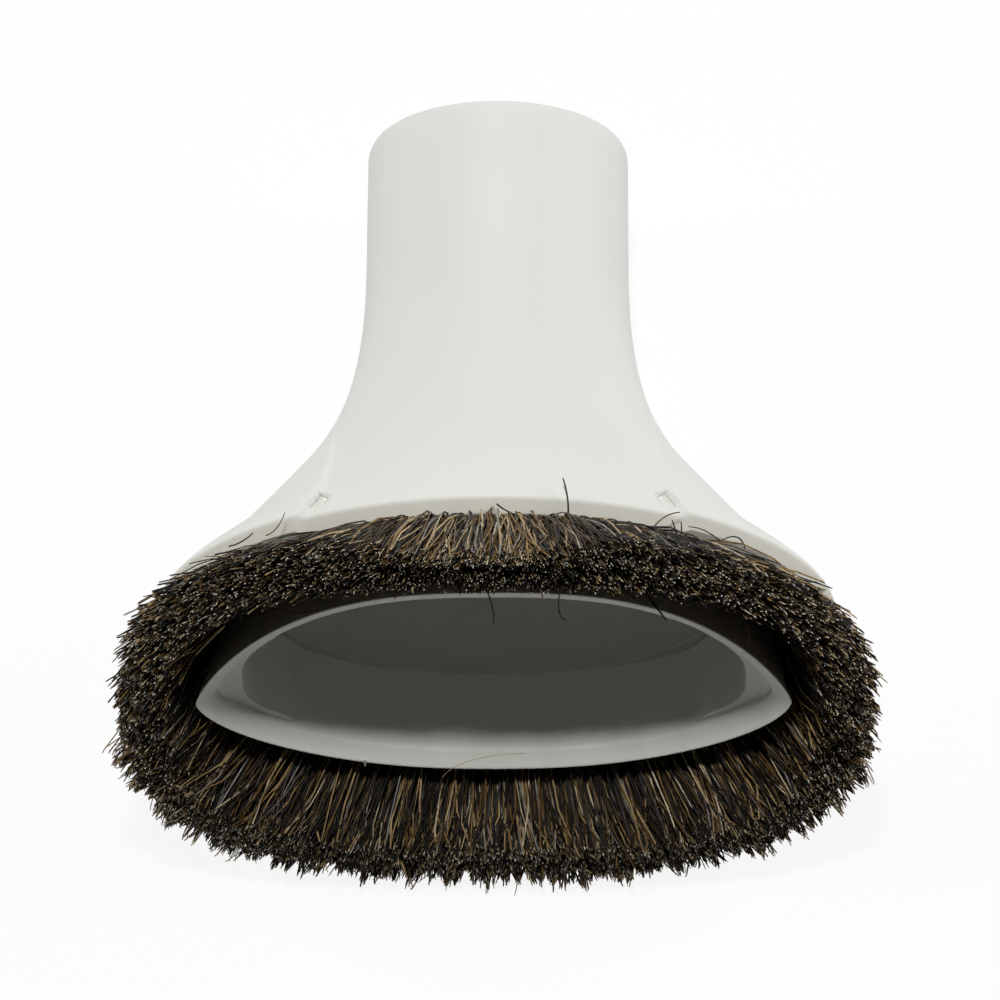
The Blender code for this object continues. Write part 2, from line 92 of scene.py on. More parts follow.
WING_FADE = 27.0 * MM
CREASE_X = 21.6 * MM
CREASE_SPREAD = 4.4 * MM
CREASE_SPREAD_START = 13.0 * MM
CREASE_END = math.radians(24.0)
PLAIN_CREASE = math.radians(47.0)
CREASE_RELEASE = 12.0 * MM
CREASE_BAND = math.radians(2.2)
CREASE_RISE = 1.1  # of the band
NECK_ROWS = 14
FLARE_ROWS = 150
HOLLOW_ROWS = 24
SEAT_ROWS = (0.0, 2.0 * MM, 3.5 * MM, SEAT_DEPTH)
QUARTER_POINTS = 31
STEP_POINTS = 15
ROUND_POINTS = 9
ARC_POINTS = 6
SHARP_EDGE = math.radians(38.0)
SAME_POINT = 2e-6
NO_LENGTH = 1e-7

# Insert, as the solid has it
PLATE_FRONT = 0.45 * MM
PLATE_BACK = 4.35 * MM
PLATE_FRONT_EDGE = 0.2 * MM
PLATE_BACK_EDGE = 0.3 * MM
LIP_HALF_LENGTH = MOUTH_HALF_WIDTH - 5.9 * MM
LIP_HALF_HEIGHT = MOUTH_HALF_HEIGHT - 5.5 * MM
LIP_WALL = 2.4 * MM
LIP_TIP_WALL = 2.6 * MM
LIP_PROUD = 13.1 * MM
LIP_ARCH = 4.2 * MM
LIP_ARCH_POWER = 3.7
LIP_ROOT = 0.3 * MM
LIP_END_DRAFT = 3.1 * MM
LIP_SIDE_DRAFT = 0.4 * MM
LIP_EDGE = 0.45 * MM
LIP_BEVEL = 1.7 * MM
LENS_FULLNESS = 2.5
LENS_POINT = 0.7
LENS_STEPS = 560
LENS_CROWDING = 0.32
POCKET_SHELF = 1.1 * MM
POCKET_TREAD = 1.15 * MM
POCKET_STEPS = 3
POCKET_DEPTH = 1.3 * MM
POCKET_RISER = 1.0 * MM
POCKET_FOLLOW = 0.3
DUCT_CORNER = 60
DUCT_CORNER_FROM = 0.78
DUCT_CORNER_OVER = 0.17
DUCT_ROWS = (0.08, 0.3, 0.6, 1.0)
WINDOW_SLANT = math.radians(28.0)
WINDOW_STEP_MARGIN = 0.25 * MM
WINDOW_WIDTH = 2.0 * MM
WINDOW_LENGTH = 3.2 * MM
WINDOW_STATION = 2.6 * MM
WINDOW_CUT = 1.5 * HOOD_WALL
LATCH_ROOT = 0.8 * MM
LATCH_GAP = 0.1 * MM
LATCH_SUNK = 0.12 * MM
LATCH_RAMP = 1.0 * MM
LATCH_SHARP_EDGE = math.radians(30.0)
SPUR_ACROSS = -18.0 * MM
SPUR_BELOW = 14.3 * MM
SPUR_LENGTH = 1.6 * MM
SPUR_SUNK = 0.55 * MM
SPUR_RADIUS = 0.34
SPUR_TIP_RADIUS = 0.05
SPUR_TAPER = 0.7
SPUR_ROWS = 6
SPUR_SIDES = 10
SPUR_SHARP_EDGE = 1.0

# Tufts, as the solids have them
TUFT_COUNT = 52
TUFT_RADIUS = 0.8 * MM
TUFT_SUNK = 1.0 * MM
HOLE_TILT = math.radians(32.0)
TRACK_HALF_LENGTH = MOUTH_HALF_WIDTH - 7.9 * MM
TRACK_HALF_HEIGHT = MOUTH_HALF_HEIGHT - 4.3 * MM
TRACK_CENTRE = 0.6 * MM
TIPS_HALF_LENGTH = TRACK_HALF_LENGTH + 10.1 * MM
TIPS_HALF_HEIGHT = TRACK_HALF_HEIGHT + 11.4 * MM
TIPS_FULLNESS = 2.9
TIPS_REACH = 21.4 * MM
OVAL_POINTS = 2881

# Hair: the strands of a tuft. A pair of shares is of the tuft's half-depth and half-breadth.
STRANDS_PER_TUFT = 445
HAIR_PIECES = 8
STRAND_SIDES = 3
RING_HELPER = np.array([0.31, 0.94, 0.11])
STRAND_TAPER = 0.25
STRAND_TIP = 0.45
CUT_TIP = 0.985
STRAND_PLACES = np.array([0.0, 0.26, 0.52, 0.77, CUT_TIP, 1.0])
STRAY_PLACES = np.append(np.linspace(0.0, CUT_TIP, 10), 1.0)
STRAND_RADIUS = (0.09 * MM, 0.19 * MM)
ROOT_HALF_BREADTH = 1.75 * MM
TIP_HALF_DEPTH = 4.0 * MM
TIP_HALF_BREADTH = 2.3 * MM
EVEN_SPREAD = (0.85, 1.0)
LOOSE_SPREAD = (0.2, 0.6)
SPREAD_LIMITS = ((-1.05, -2.2), (1.2, 2.2))
CLUMPS_PER_TUFT = 34
CLUMP_SPREAD = (1.0, 1.6)
CLUMP_PULL = 0.7
CLUMP_PULL_EDGE = 0.25
LEAVE_WANDER = 0.10
ARRIVE_WANDER = 0.12
BOW = 0.45 * MM
WILD_SHARE = 0.02
WILD_WANDER = 1.0 * MM
TIP_WANDER = 0.16 * MM
FLOOR_CLEAR = 0.1 * MM

# Hair: zones round the mouth, by how far up the tips' oval, or how far along it
EDGE_TOP = 12.0 * MM
EDGE_FADE = 16.0 * MM
EDGE_INSIDE = 0.1
FRINGE_TOP = 4.0 * MM
FRINGE_FADE = 14.0 * MM
FRONT_CENTRE = -1.5 * MM
FRONT_HALF_WIDTH = 15.0 * MM
LEFT_FROM = 0.75
LEFT_FADE = 0.25
LEFT_FOOT = -4.0 * MM
RIGHT_FROM = 0.3
RIGHT_FADE = 0.2
RIGHT_FOOT = 8.0 * MM
CORNER_FROM = 0.6
CORNER_FADE = 18.0 * MM

# Hair: how the cut of the tips changes in the zones
CLUMP_TRIM = 0.3 * MM
STRAND_TRIM = 0.25 * MM
FRONT_DRAWN_IN = (0.45, 1.15)
FRONT_RAGGED = 1.5
CROWN_TRIM = 0.9 * MM
EDGE_LONGER = 0.4 * MM
EDGE_POINTED = 2.6 * MM
FRINGE_SLANT = 1.6 * MM
FRINGE_LONGEST = 0.95
FRINGE_WANDER = 1.8
BOW_MORE = 0.6
LEFT_DRAWN_IN = 0.8 * MM
RIGHT_DRAWN_IN = 0.8 * MM
CORNER_LIFT_LEFT = 0.3 * MM
CORNER_LIFT_RIGHT = 0.9 * MM

# Hair: how much paler the strands and their cut tips are in places; the front and the tips carry
# painted light
# partly the hair's own pale strands, partly painted light for the front hair's lit outer sides
FRONT_PAINTED_LIGHT = 0.9
ENDS_PALER = 0.22
EDGE_PALER = 0.5
# painted highlight on the cut tips, made stronger in the fringe
FRINGE_TIP_GLINT = 0.4

# Stray hairs: tone, radius, and three places (across, up, out of the mouth) in millimetres
STRAYS = (
    (0.30, 0.14, (9.7, 17.8, 2.6), (10.2, 21.6, 0.9), (9.5, 24.6, -1.4)),
    (0.15, 0.13, (0.7, 22.3, 1.2), (3.6, 22.0, 3.4), (10.2, 21.4, 6.2)),
    (0.62, 0.11, (21.2, 19.4, 3.4), (23.0, 20.6, 2.1), (25.1, 20.4, 0.9)),
    (0.10, 0.13, (24.8, 18.6, 5.2), (24.6, 19.4, 4.0), (24.0, 20.4, 2.4)),
    (0.10, 0.12, (24.7, 19.0, 4.4), (25.2, 19.3, 3.6), (25.2, 20.0, 2.3)),
    (0.45, 0.10, (30.4, 19.2, 5.4), (28.3, 19.4, 3.4), (26.2, 18.9, 2.1)),
    (0.20, 0.12, (33.6, 18.8, 6.4), (32.6, 18.9, 4.2), (30.5, 17.3, 3.1)),
    (0.05, 0.17, (38.2, 16.8, 8.4), (36.4, 17.0, 6.9), (34.2, 16.4, 5.1)),
    (0.95, 0.06, (-7.8, -17.6, 13.2), (-3.6, -12.2, 14.9), (4.2, -11.4, 14.2)),
    (0.88, 0.13, (-40.6, 5.4, 13.6), (-37.8, 11.6, 17.0), (-34.7, 17.0, 19.2)),
    (0.80, 0.09, (-31.0, 18.6, 16.4), (-26.0, 17.9, 17.8), (-20.7, 18.5, 17.2)),
    (0.60, 0.10, (39.6, 12.4, 16.6), (41.9, 4.6, 15.6), (42.0, -3.6, 12.4)),
    (0.66, 0.10, (31.6, 15.4, 13.2), (33.6, 13.4, 14.9), (34.0, 10.6, 15.8)),
    (0.25, 0.12, (-35.2, 17.6, 4.2), (-33.6, 17.5, 3.2), (-32.0, 18.4, 2.4)),
    (0.70, 0.10, (-30.2, 18.8, 3.4), (-28.8, 19.4, 2.6), (-27.6, 21.2, 1.4)),
    (0.12, 0.12, (-0.6, 21.4, 16.2), (0.4, 17.2, 16.8), (0.2, 13.6, 15.4)),
    (0.12, 0.11, (9.4, 21.6, 16.0), (9.0, 17.4, 16.6), (9.9, 14.4, 15.6)),
)

# Camera, measured from the photo's outlines
FOCAL_SHARE = 4.0  # focal length over the picture's width
VIEW_TURN = math.radians(-5.21)
VIEW_RISE = math.radians(70.93)
VIEW_ROLL = math.radians(-5.18)
VIEW_DISTANCE = 553.6 * MM
VIEW_AIM = 16.44 * MM
SHIFT_RIGHT = -0.0038
SHIFT_DOWN = 0.0076
SENSOR_WIDTH = 36.0

# Colours of the plastics: plain, warmer in clouds, and where the hood has yellowed
HOOD_COLOURS = ((0.74, 0.745, 0.71), (0.75, 0.755, 0.725), (0.75, 0.735, 0.65))
INSERT_COLOURS = ((0.78, 0.78, 0.715), (0.79, 0.785, 0.725))
DUST_COLOUR = (0.33, 0.31, 0.27)
GRAIN_STRENGTH = 0.10
GRAIN_DEPTH = 0.05 * MM

# Studio
FLOOR_HALF = 6.0
FLOOR_BELOW = 0.2 * MM
FLOOR_GLOW = 1.04
FLOOR_GLOW_SHARE = 0.86
SURROUND_LIGHT = 0.012

# Lamps: place and size in metres, and power in watts
LAMPS = (
    ("overhead", (-0.02, 0.185, 0.97), 0.11, 5.6),
    ("left_fill", (-0.85, 0.30, 0.42), 0.5, 4.0),
    ("right_fill", (0.85, 0.30, 0.42), 0.5, 4.9),
    ("front_fill", (0.0, -1.1, 0.55), 1.1, 0.45),
)

hood_low, hood_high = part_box("nozzle_hood")
PLACE = np.array([0.0, hood_high[1] - NECK_END, hood_low[2] + NECK_RADIUS])
MOUTH_OUT = np.array([0.0, -math.cos(MOUTH_TILT), math.sin(MOUTH_TILT)])


def ease(value):
    """Smoothstep, 3v2 - 2v3 of values held between 0 and 1."""
    value = np.clip(value, 0.0, 1.0)
    return value * value * (3.0 - 2.0 * value)


def hermite(y, start, end):
    """Cubic between two (place, value, slope) waypoints."""
    span = end[0] - start[0]
    s = (y - start[0]) / span
    ends = (1.0 + 2.0 * s) * (1.0 - s) ** 2 * start[1] + s * s * (3.0 - 2.0 * s) * end[1]
    return ends + span * (s * (1.0 - s) ** 2 * start[2] + s * s * (s - 1.0) * end[2])


def half_width(y):
    """The hood's half-width at stations along the neck: a cubic through four waypoints."""
    waypoints = (
        (FLARE_START, NECK_RADIUS, 0.0),
        (WAIST, WAIST_HALF_WIDTH, WAIST_SLOPE),
        (SHOULDER, SHOULDER_HALF_WIDTH, SHOULDER_SLOPE),
        (0.0, MOUTH_HALF_WIDTH, RIM_SLOPE),
    )
    y = np.asarray(y, float)
    width = np.where(y >= FLARE_START, NECK_RADIUS, MOUTH_HALF_WIDTH + RIM_SLOPE * y)
    for start, end in zip(waypoints, waypoints[1:]):
        width = np.where((y < start[0]) & (y >= end[0]), hermite(y, start, end), width)
    return width


def tilt(y):
    """Lean of the sections: the mouth's tilt, easing to none at the neck."""
    return MOUTH_TILT * (1.0 - ease((y - TILT_HOLD) / (FLARE_START - TILT_HOLD)))


def section(y, inset):
    """(half-width, half-height, centre height) of the ovals at stations, inset by a wall."""
    rise = FRONT_RISE * np.maximum(0.0, 1.0 - y / FRONT_RISE_START) ** 2
    lean = np.cos(tilt(y))
    share = (half_width(y) - NECK_RADIUS) / (MOUTH_HALF_WIDTH - NECK_RADIUS)
    width = half_width(y) - inset * (1.0 + SIDE_EXTRA * share)
    return width, (NECK_RADIUS + 0.5 * rise - inset) / lean, 0.5 * rise / lean


def crease_angle(y):
    """Where the wings' step crosses each section, as an angle round the oval."""
    swing = np.maximum(0.0, 1.0 - y / CREASE_SPREAD_START) ** 2
    ratio = (CREASE_X + CREASE_SPREAD * swing) / half_width(y)
    angle = np.maximum(np.arccos(np.minimum(ratio, 1.0)), CREASE_END)
    return angle + (PLAIN_CREASE - angle) * ease((y - WING_FADE) / CREASE_RELEASE)


def hood_rows(y, inset, wings):
    """Rows of points round the hood, one per station.

    Each row is an oval in a leaning plane. Its angles crowd at the step in every quarter,
    where the proud wing rises along the oval's normal over a smoothstep of the angle. The
    wing's height falls off evenly along the neck.
    """
    y = np.asarray(y, float)
    inset = inset + 0.0 * y
    crease = crease_angle(y)[:, None]
    even = np.linspace(0.0, 1.0, QUARTER_POINTS)[None]
    side = even * (crease - CREASE_BAND)
    step = crease + CREASE_BAND * np.linspace(-1.0, 1.0, STEP_POINTS)[None, 1:-1]
    top = crease + CREASE_BAND + even * (0.5 * math.pi - crease - CREASE_BAND)
    quarter = np.concatenate([side, step, top], axis=1)
    half = np.concatenate([quarter, math.pi - quarter[:, -2::-1]], axis=1)
    angles = np.concatenate([half, 2.0 * math.pi - half[:, -2:0:-1]], axis=1)
    width, height, centre = (value[:, None] for value in section(y, inset))
    across, up = width * np.cos(angles), height * np.sin(angles)
    if wings:
        proud = WING_HEIGHT * np.maximum(0.0, 1.0 - y / WING_FADE)[:, None]
        fold = np.arccos(np.abs(np.cos(angles)))
        rise = ease(0.5 - (fold - crease) / (CREASE_RISE * CREASE_BAND))
        normal = np.stack([height * np.cos(angles), width * np.sin(angles)])
        normal /= np.linalg.norm(normal, axis=0)
        across, up = across + normal[0] * proud * rise, up + normal[1] * proud * rise
    lean = tilt(y)[:, None]
    up = up + centre
    return np.stack([across, y[:, None] + up * np.sin(lean), up * np.cos(lean)], axis=-1)


def round_rows(y, radius):
    """Rows of points round plain circles across the neck, at the hood's own angles."""
    y = np.asarray(y, float)
    base = hood_rows(y, 0.0, False)
    width, height, centre = (value[:, None] for value in section(y, 0.0))
    lean = tilt(y)[:, None]
    angles = np.arctan2((base[..., 2] / np.cos(lean) - centre) / height, base[..., 0] / width)
    radius = np.asarray(radius, float)[:, None]
    station = y[:, None] + 0.0 * angles
    return np.stack([radius * np.cos(angles), station, radius * np.sin(angles)], axis=-1)


def mouth_points(across, up, out):
    """Points given across and up the mouth's plane and out from it, in the part's axes."""
    across, up, out = np.broadcast_arrays(across, up, out)
    sine, cosine = math.sin(MOUTH_TILT), math.cos(MOUTH_TILT)
    return np.stack([across, up * sine - out * cosine, up * cosine + out * sine], axis=-1)


def add_mesh(name, vertices, faces, material):
    """A smooth mesh object from an array of points and one of faces with equal sides."""
    mesh = bpy.data.meshes.new(name)
    mesh.vertices.add(len(vertices))
    mesh.vertices.foreach_set("co", (vertices + PLACE).astype(np.float32).ravel())
    mesh.loops.add(faces.size)
    mesh.loops.foreach_set("vertex_index", faces.astype(np.int32).ravel())
    mesh.polygons.add(len(faces))
    size = faces.shape[1]
    mesh.polygons.foreach_set("loop_start", np.arange(0, faces.size, size, dtype=np.int32))
    mesh.polygons.foreach_set("loop_total", np.full(len(faces), size, dtype=np.int32))
    mesh.update(calc_edges=True)
    mesh.shade_smooth()
    mesh.materials.append(material)
    thing = bpy.data.objects.new(name, mesh)
    bpy.context.scene.collection.objects.link(thing)
    return thing


def skin_faces(rows, points):
    """Faces of a closed wall of rows, where the last row joins the first."""
    row, point = np.meshgrid(np.arange(rows), np.arange(points), indexing="ij")
    after, beside = (row + 1) % rows, (point + 1) % points
    here, there = row * points, after * points
    corners = (here + point, here + beside, there + beside, there + point)
    return np.stack(corners, axis=-1).reshape(-1, 4)


def close_skin(name, rows, material, sharp=SHARP_EDGE):
    """A closed skin through rows of points, with doubled points merged and faces outwards."""
    count, points = rows.shape[:2]
    thing = add_mesh(name, rows.reshape(-1, 3), skin_faces(count, points), material)
    work = bmesh.new()
    work.from_mesh(thing.data)
    bmesh.ops.remove_doubles(work, verts=work.verts, dist=SAME_POINT)
    bmesh.ops.dissolve_degenerate(work, edges=work.edges, dist=NO_LENGTH)
    loose = [edge for edge in work.edges if not edge.link_faces]
    bmesh.ops.delete(work, geom=loose, context="EDGES")
    bmesh.ops.recalc_face_normals(work, faces=work.faces)
    work.to_mesh(thing.data)
    work.free()
    thing.data.set_sharp_from_angle(angle=sharp)
    return thing


def quarter_turn(count):
    """(sine, cosine) of evenly spaced angles from nought to a right angle."""
    turn = np.linspace(0.0, 0.5 * math.pi, count)
    return np.sin(turn), np.cos(turn)


def hood_skin(material):
    """The hood's skin: down its outer face from the neck's end, and back up inside.

    The neck's end is rounded by a quarter ellipse. At the rim a parabola turns the outer face
    into a band that slopes inwards, and an arc and a quarter circle turn the band into the
    mouth's inner wall.
    """
    sine, cosine = quarter_turn(ROUND_POINTS)
    end_round = NECK_END - NECK_ROUND_AXIAL * (1.0 - cosine)
    rows = [round_rows(end_round, NECK_RADIUS - NECK_ROUND_RADIAL * (1.0 - sine))]
    straight = np.linspace(NECK_END - NECK_ROUND_AXIAL, FLARE_START, NECK_ROWS)[1:]
    rows.append(round_rows(straight, np.full(len(straight), NECK_RADIUS)))
    rows.append(hood_rows(np.linspace(FLARE_START, RIM_ROUND, FLARE_ROWS)[1:], 0.0, True))

    slope = RIM_DROP / RIM_BAND
    run = np.linspace(-1.0, 1.0, ROUND_POINTS)[1:]
    rows.append(hood_rows(-RIM_ROUND * run, 0.25 * slope * RIM_ROUND * (run + 1.0) ** 2, True))
    arc = np.linspace(math.atan(slope), 0.5 * math.pi, ARC_POINTS)
    low = RIM_BAND - RIM_EDGE * (1.0 - math.sin(arc[0]))
    band = np.array([0.5 * (RIM_ROUND + low), low])
    rows.append(hood_rows(-band, slope * band, True))
    turned = slope * low + RIM_EDGE * (math.cos(arc[0]) - np.cos(arc[1:]))
    rows.append(hood_rows(RIM_EDGE * (1.0 - np.sin(arc[1:])) - RIM_BAND, turned, True))
    wall = HOOD_WALL - RIM_EDGE * (1.0 - sine)
    rows.append(hood_rows(RIM_EDGE * (1.0 - cosine) - RIM_BAND, wall, False))

    rows.append(hood_rows(SEAT_ROWS, HOOD_WALL, False))
    rows.append(hood_rows([SEAT_DEPTH, SEAT_DEPTH + LEDGE], HOOD_WALL + LEDGE, False))
    hollow = np.linspace(SEAT_DEPTH + 2.0 * LEDGE, THROAT_BLEND, HOLLOW_ROWS)
    rows.append(hood_rows(hollow, HOOD_WALL, False))
    foot = NECK_END - SOCKET_DEPTH
    middle = 0.5 * (THROAT_RADIUS + NECK_RADIUS - HOOD_WALL)
    rows.append(round_rows([0.5 * (THROAT_BLEND + foot), foot], [middle, THROAT_RADIUS]))
    bore = [SOCKET_RADIUS - SOCKET_NARROWING, SOCKET_RADIUS, SOCKET_RADIUS + SOCKET_LEAD_IN]
    rows.append(round_rows([foot, NECK_END - SOCKET_LEAD_IN, NECK_END], bore))
    return close_skin("hood_skin", np.concatenate(rows), material)


def lens(length, height, angles, clip=None):
    """A lens outline, h(1 - |x/l|^fullness)^point, with its two ends cut off at clip."""
    share = np.minimum(np.abs(np.cos(angles)), 1.0)
    across = length * np.cos(angles)
    up = height * (1.0 - share**LENS_FULLNESS) ** LENS_POINT * np.sign(np.sin(angles))
    if clip is not None:
        corner = math.acos(clip / length)
        corner_up = height * (1.0 - (clip / length) ** LENS_FULLNESS) ** LENS_POINT
        up = np.where(np.abs(across) > clip, corner_up * np.sin(angles) / math.sin(corner), up)
        across = np.clip(across, -clip, clip)
    return across, up


def rounded(ring, reach):
    """A closed ring of points with the corners at its two ends rounded.

    Near the ends the points give way to a cosine-weighted running mean of the ring.
    """
    offsets = np.arange(-reach, reach + 1)
    weights = 1.0 + np.cos(math.pi * offsets / (reach + 1))
    mean = sum(w * np.roll(ring, k, axis=0) for w, k in zip(weights, offsets)) / weights.sum()
    far = np.abs(ring[:, :1]) / np.abs(ring[:, 0]).max()
    return ring + (mean - ring) * ease((far - DUCT_CORNER_FROM) / DUCT_CORNER_OVER)


def lip_reach(across):
    """How far the lip stands out at a place along it: an arch, longest at its two ends."""
    return LIP_PROUD + LIP_ARCH * np.abs(across / LIP_HALF_LENGTH) ** LIP_ARCH_POWER


def mouth_centre():
    """How far up the mouth's plane its centre lies from the neck's axis."""
    return float(section(np.array(0.0), 0.0)[2])


def insert_skin(material):
    """The insert's skin: the plate, up the lip, over its rim and down the stepped duct.

    Every row has the same angles, crowded at the two ends by a double sine. The lip's side
    is straight from its root to a quarter circle. Its rim drops inwards in a straight bevel
    to a second quarter circle.
    """
    turn = np.arange(LENS_STEPS) * 2.0 * math.pi / LENS_STEPS
    angles = turn - LENS_CROWDING * np.sin(2.0 * turn)
    centre = mouth_centre()
    face = -PLATE_FRONT * math.cos(MOUTH_TILT)

    def edge(station, inset):
        width, height, middle = section(np.array(station), HOOD_WALL + SEAT_GAP + inset)
        up = station * math.sin(MOUTH_TILT) + middle + height * np.sin(angles)
        return mouth_points(width * np.cos(angles), up, -station * math.cos(MOUTH_TILT))

    def lip(inset, tip_inset, drop):
        across, up = lens(LIP_HALF_LENGTH - tip_inset, LIP_HALF_HEIGHT - inset, angles)
        drop = drop + LIP_BEVEL * inset / LIP_WALL
        return mouth_points(across, centre + up, lip_reach(across) - drop)

    def root(grow, out):
        length = LIP_HALF_LENGTH - LIP_END_DRAFT + grow
        across, up = lens(length, LIP_HALF_HEIGHT - LIP_SIDE_DRAFT + grow, angles)
        return mouth_points(across, centre + up, out)

    inner_length = LIP_HALF_LENGTH - LIP_TIP_WALL
    inner_height = LIP_HALF_HEIGHT - LIP_WALL
    top = LIP_PROUD + LIP_ARCH * (inner_length / LIP_HALF_LENGTH) ** LIP_ARCH_POWER

    def pocket(clip, depth):
        across, up = lens(inner_length, inner_height, angles, clip)
        below_rim = lip_reach(across) - LIP_EDGE - LIP_BEVEL - POCKET_FOLLOW * depth
        level = np.minimum(top - depth, below_rim)
        return mouth_points(across, centre + up, level)

    rows = [edge(PLATE_BACK, PLATE_BACK_EDGE), edge(PLATE_BACK - PLATE_BACK_EDGE, 0.0)]
    rows.append(edge(0.5 * (PLATE_BACK + PLATE_FRONT), 0.0))
    rows += [edge(PLATE_FRONT + PLATE_FRONT_EDGE, 0.0), edge(PLATE_FRONT, PLATE_FRONT_EDGE)]
    below = root(0.0, face + LIP_ROOT)
    rows += [root(LIP_ROOT, face), below]
    sine, cosine = quarter_turn(ARC_POINTS)
    shoulder = lip(0.0, 0.0, LIP_EDGE)
    rows += [below + (shoulder - below) * share for share in (0.25, 0.5, 0.75)]
    more, less = LIP_EDGE * (1.0 - cosine), LIP_EDGE * (1.0 - sine)
    rows += [lip(inset, inset, drop) for inset, drop in zip(more, less)]
    rows += [lip(LIP_WALL - back, LIP_TIP_WALL - back, drop) for back, drop in zip(less, more)]
    clip = inner_length - POCKET_SHELF
    depth = POCKET_DEPTH
    rows += [pocket(None, depth), pocket(clip, depth)]
    for _ in range(POCKET_STEPS - 1):
        depth += POCKET_RISER
        rows.append(pocket(clip, depth))
        clip -= POCKET_TREAD
        rows.append(pocket(clip, depth))
    rows[-1] = rounded(rows[-1], DUCT_CORNER)
    across, up = lens(inner_length, inner_height, angles, clip)
    behind = mouth_points(across, centre + up, -PLATE_BACK * math.cos(MOUTH_TILT))
    end = rounded(behind, DUCT_CORNER)
    rows += [rows[-1] + (end - rows[-1]) * share for share in DUCT_ROWS]
    return close_skin("insert_skin", np.stack(rows), material)


def window_frames():
    """(middle of the wall, breadthways, outwards, lengthways) of each window, as in the solid."""
    station = np.array(WINDOW_STATION)
    width, height, centre = (float(value) for value in section(station, 0.5 * HOOD_WALL))
    step = float(half_width(station) * np.cos(crease_angle(station)))
    beside = step - WINDOW_STEP_MARGIN - 0.5 * WINDOW_WIDTH / math.cos(WINDOW_SLANT)
    lean = math.cos(MOUTH_TILT)
    neck = np.array([0.0, 1.0, 0.0])
    frames = []
    for side in (1.0, -1.0):
        for face in (1.0, -1.0):
            rise = face * math.sqrt(1.0 - (beside / width) ** 2)
            up = centre + height * rise
            place = np.array([side * beside, WINDOW_STATION + up * math.sin(MOUTH_TILT), up * lean])
            fall = -face * height * lean * beside / width
            curve = np.array([side * width * abs(rise), 0.0, fall])
            curve /= np.linalg.norm(curve)
            lengthways = neck * math.cos(WINDOW_SLANT) - curve * math.sin(WINDOW_SLANT)
            breadthways = curve * math.cos(WINDOW_SLANT) + neck * math.sin(WINDOW_SLANT)
            across, above = side * height * beside / width, width * rise
            outwards = np.array([across, above * math.sin(MOUTH_TILT), above * lean])
            outwards /= np.linalg.norm(outwards)
            frames.append((place, breadthways, outwards, lengthways))
    return frames


def wedges(width, low, high_near, high_far, length):
    """Points and faces of one wedge in each window, from low to its near and far heights."""
    vertices, quads = [], []
    left = np.array(
        [(0, 1, 3, 2), (4, 6, 7, 5), (0, 4, 5, 1), (2, 3, 7, 6), (0, 2, 6, 4), (1, 5, 7, 3)]
    )
    right = left[:, ::-1]
    for number, (place, breadthways, outwards, lengthways) in enumerate(window_frames()):
        for a in (-0.5, 0.5):
            for inner in (True, False):
                for c, high in ((-0.5, high_near), (0.5, high_far)):
                    corner = place + breadthways * a * width + lengthways * c * length
                    vertices.append(corner + outwards * (low if inner else high))
        handed = np.dot(np.cross(breadthways, outwards), lengthways)
        quads.append((left if handed > 0.0 else right) + 8 * number)
    return np.array(vertices), np.concatenate(quads)


def cut_windows(hood):
    """Cuts the four windows through the hood's skin and removes the cutter."""
    points, quads = wedges(WINDOW_WIDTH, -WINDOW_CUT, WINDOW_CUT, WINDOW_CUT, WINDOW_LENGTH)
    cutter = add_mesh("window_cutter", points, quads, hood.data.materials[0])
    modifier = hood.modifiers.new("windows", "BOOLEAN")
    modifier.operation = "DIFFERENCE"
    modifier.solver = "EXACT"
    modifier.object = cutter
    graph = bpy.context.evaluated_depsgraph_get()
    cut = bpy.data.meshes.new_from_object(hood.evaluated_get(graph))
    hood.modifiers.clear()
    hood.data = cut
    bpy.data.objects.remove(cutter, do_unlink=True)


def oval_places(length, height, fullness):
    """(across, up above the centre) of the tufts, spaced evenly round a full oval."""
    fine = np.linspace(0.0, 2.0 * math.pi, OVAL_POINTS)
    power = 2.0 / fullness
    across = length * np.sign(np.cos(fine)) * np.abs(np.cos(fine)) ** power
    up = height * np.sign(np.sin(fine)) * np.abs(np.sin(fine)) ** power
    run = np.concatenate([[0.0], np.cumsum(np.hypot(np.diff(across), np.diff(up)))])
    spots = (np.arange(TUFT_COUNT) + 0.5) / TUFT_COUNT * run[-1]
    return np.stack([np.interp(spots, run, across), np.interp(spots, run, up)], axis=1)


def tuft_lines():
    """(hole, tips, leave, arrive, deep, breadth) of every tuft, in the mouth's plane axes.

    Leave is the hole's direction, and arrive the straight one from the hole to the tips. Deep
    points across the row of tufts, away from the mouth, and breadth along the row.
    """
    track = oval_places(TRACK_HALF_LENGTH, TRACK_HALF_HEIGHT, 2.0)
    reach = oval_places(TIPS_HALF_LENGTH, TIPS_HALF_HEIGHT, TIPS_FULLNESS)
    normal = track * [TRACK_HALF_HEIGHT**2, TRACK_HALF_LENGTH**2]
    normal /= np.linalg.norm(normal, axis=1)[:, None]
    face = -PLATE_FRONT * math.cos(MOUTH_TILT)
    hole = np.insert(track + [0.0, TRACK_CENTRE], 2, face, axis=1)
    tips = np.insert(reach + [0.0, TRACK_CENTRE], 2, TIPS_REACH, axis=1)
    leave = np.insert(normal * math.sin(HOLE_TILT), 2, math.cos(HOLE_TILT), axis=1)
    arrive = tips - hole
    arrive /= np.linalg.norm(arrive, axis=1)[:, None]
    breadth = np.stack([-normal[:, 1], normal[:, 0], 0.0 * normal[:, 0]], axis=1)
    deep = np.cross(breadth, arrive)
    deep /= np.linalg.norm(deep, axis=1)[:, None]
    deep *= np.sign(np.sum(deep[:, :2] * normal, axis=1))[:, None]
    return np.stack([hole, tips, leave, arrive, deep, breadth])


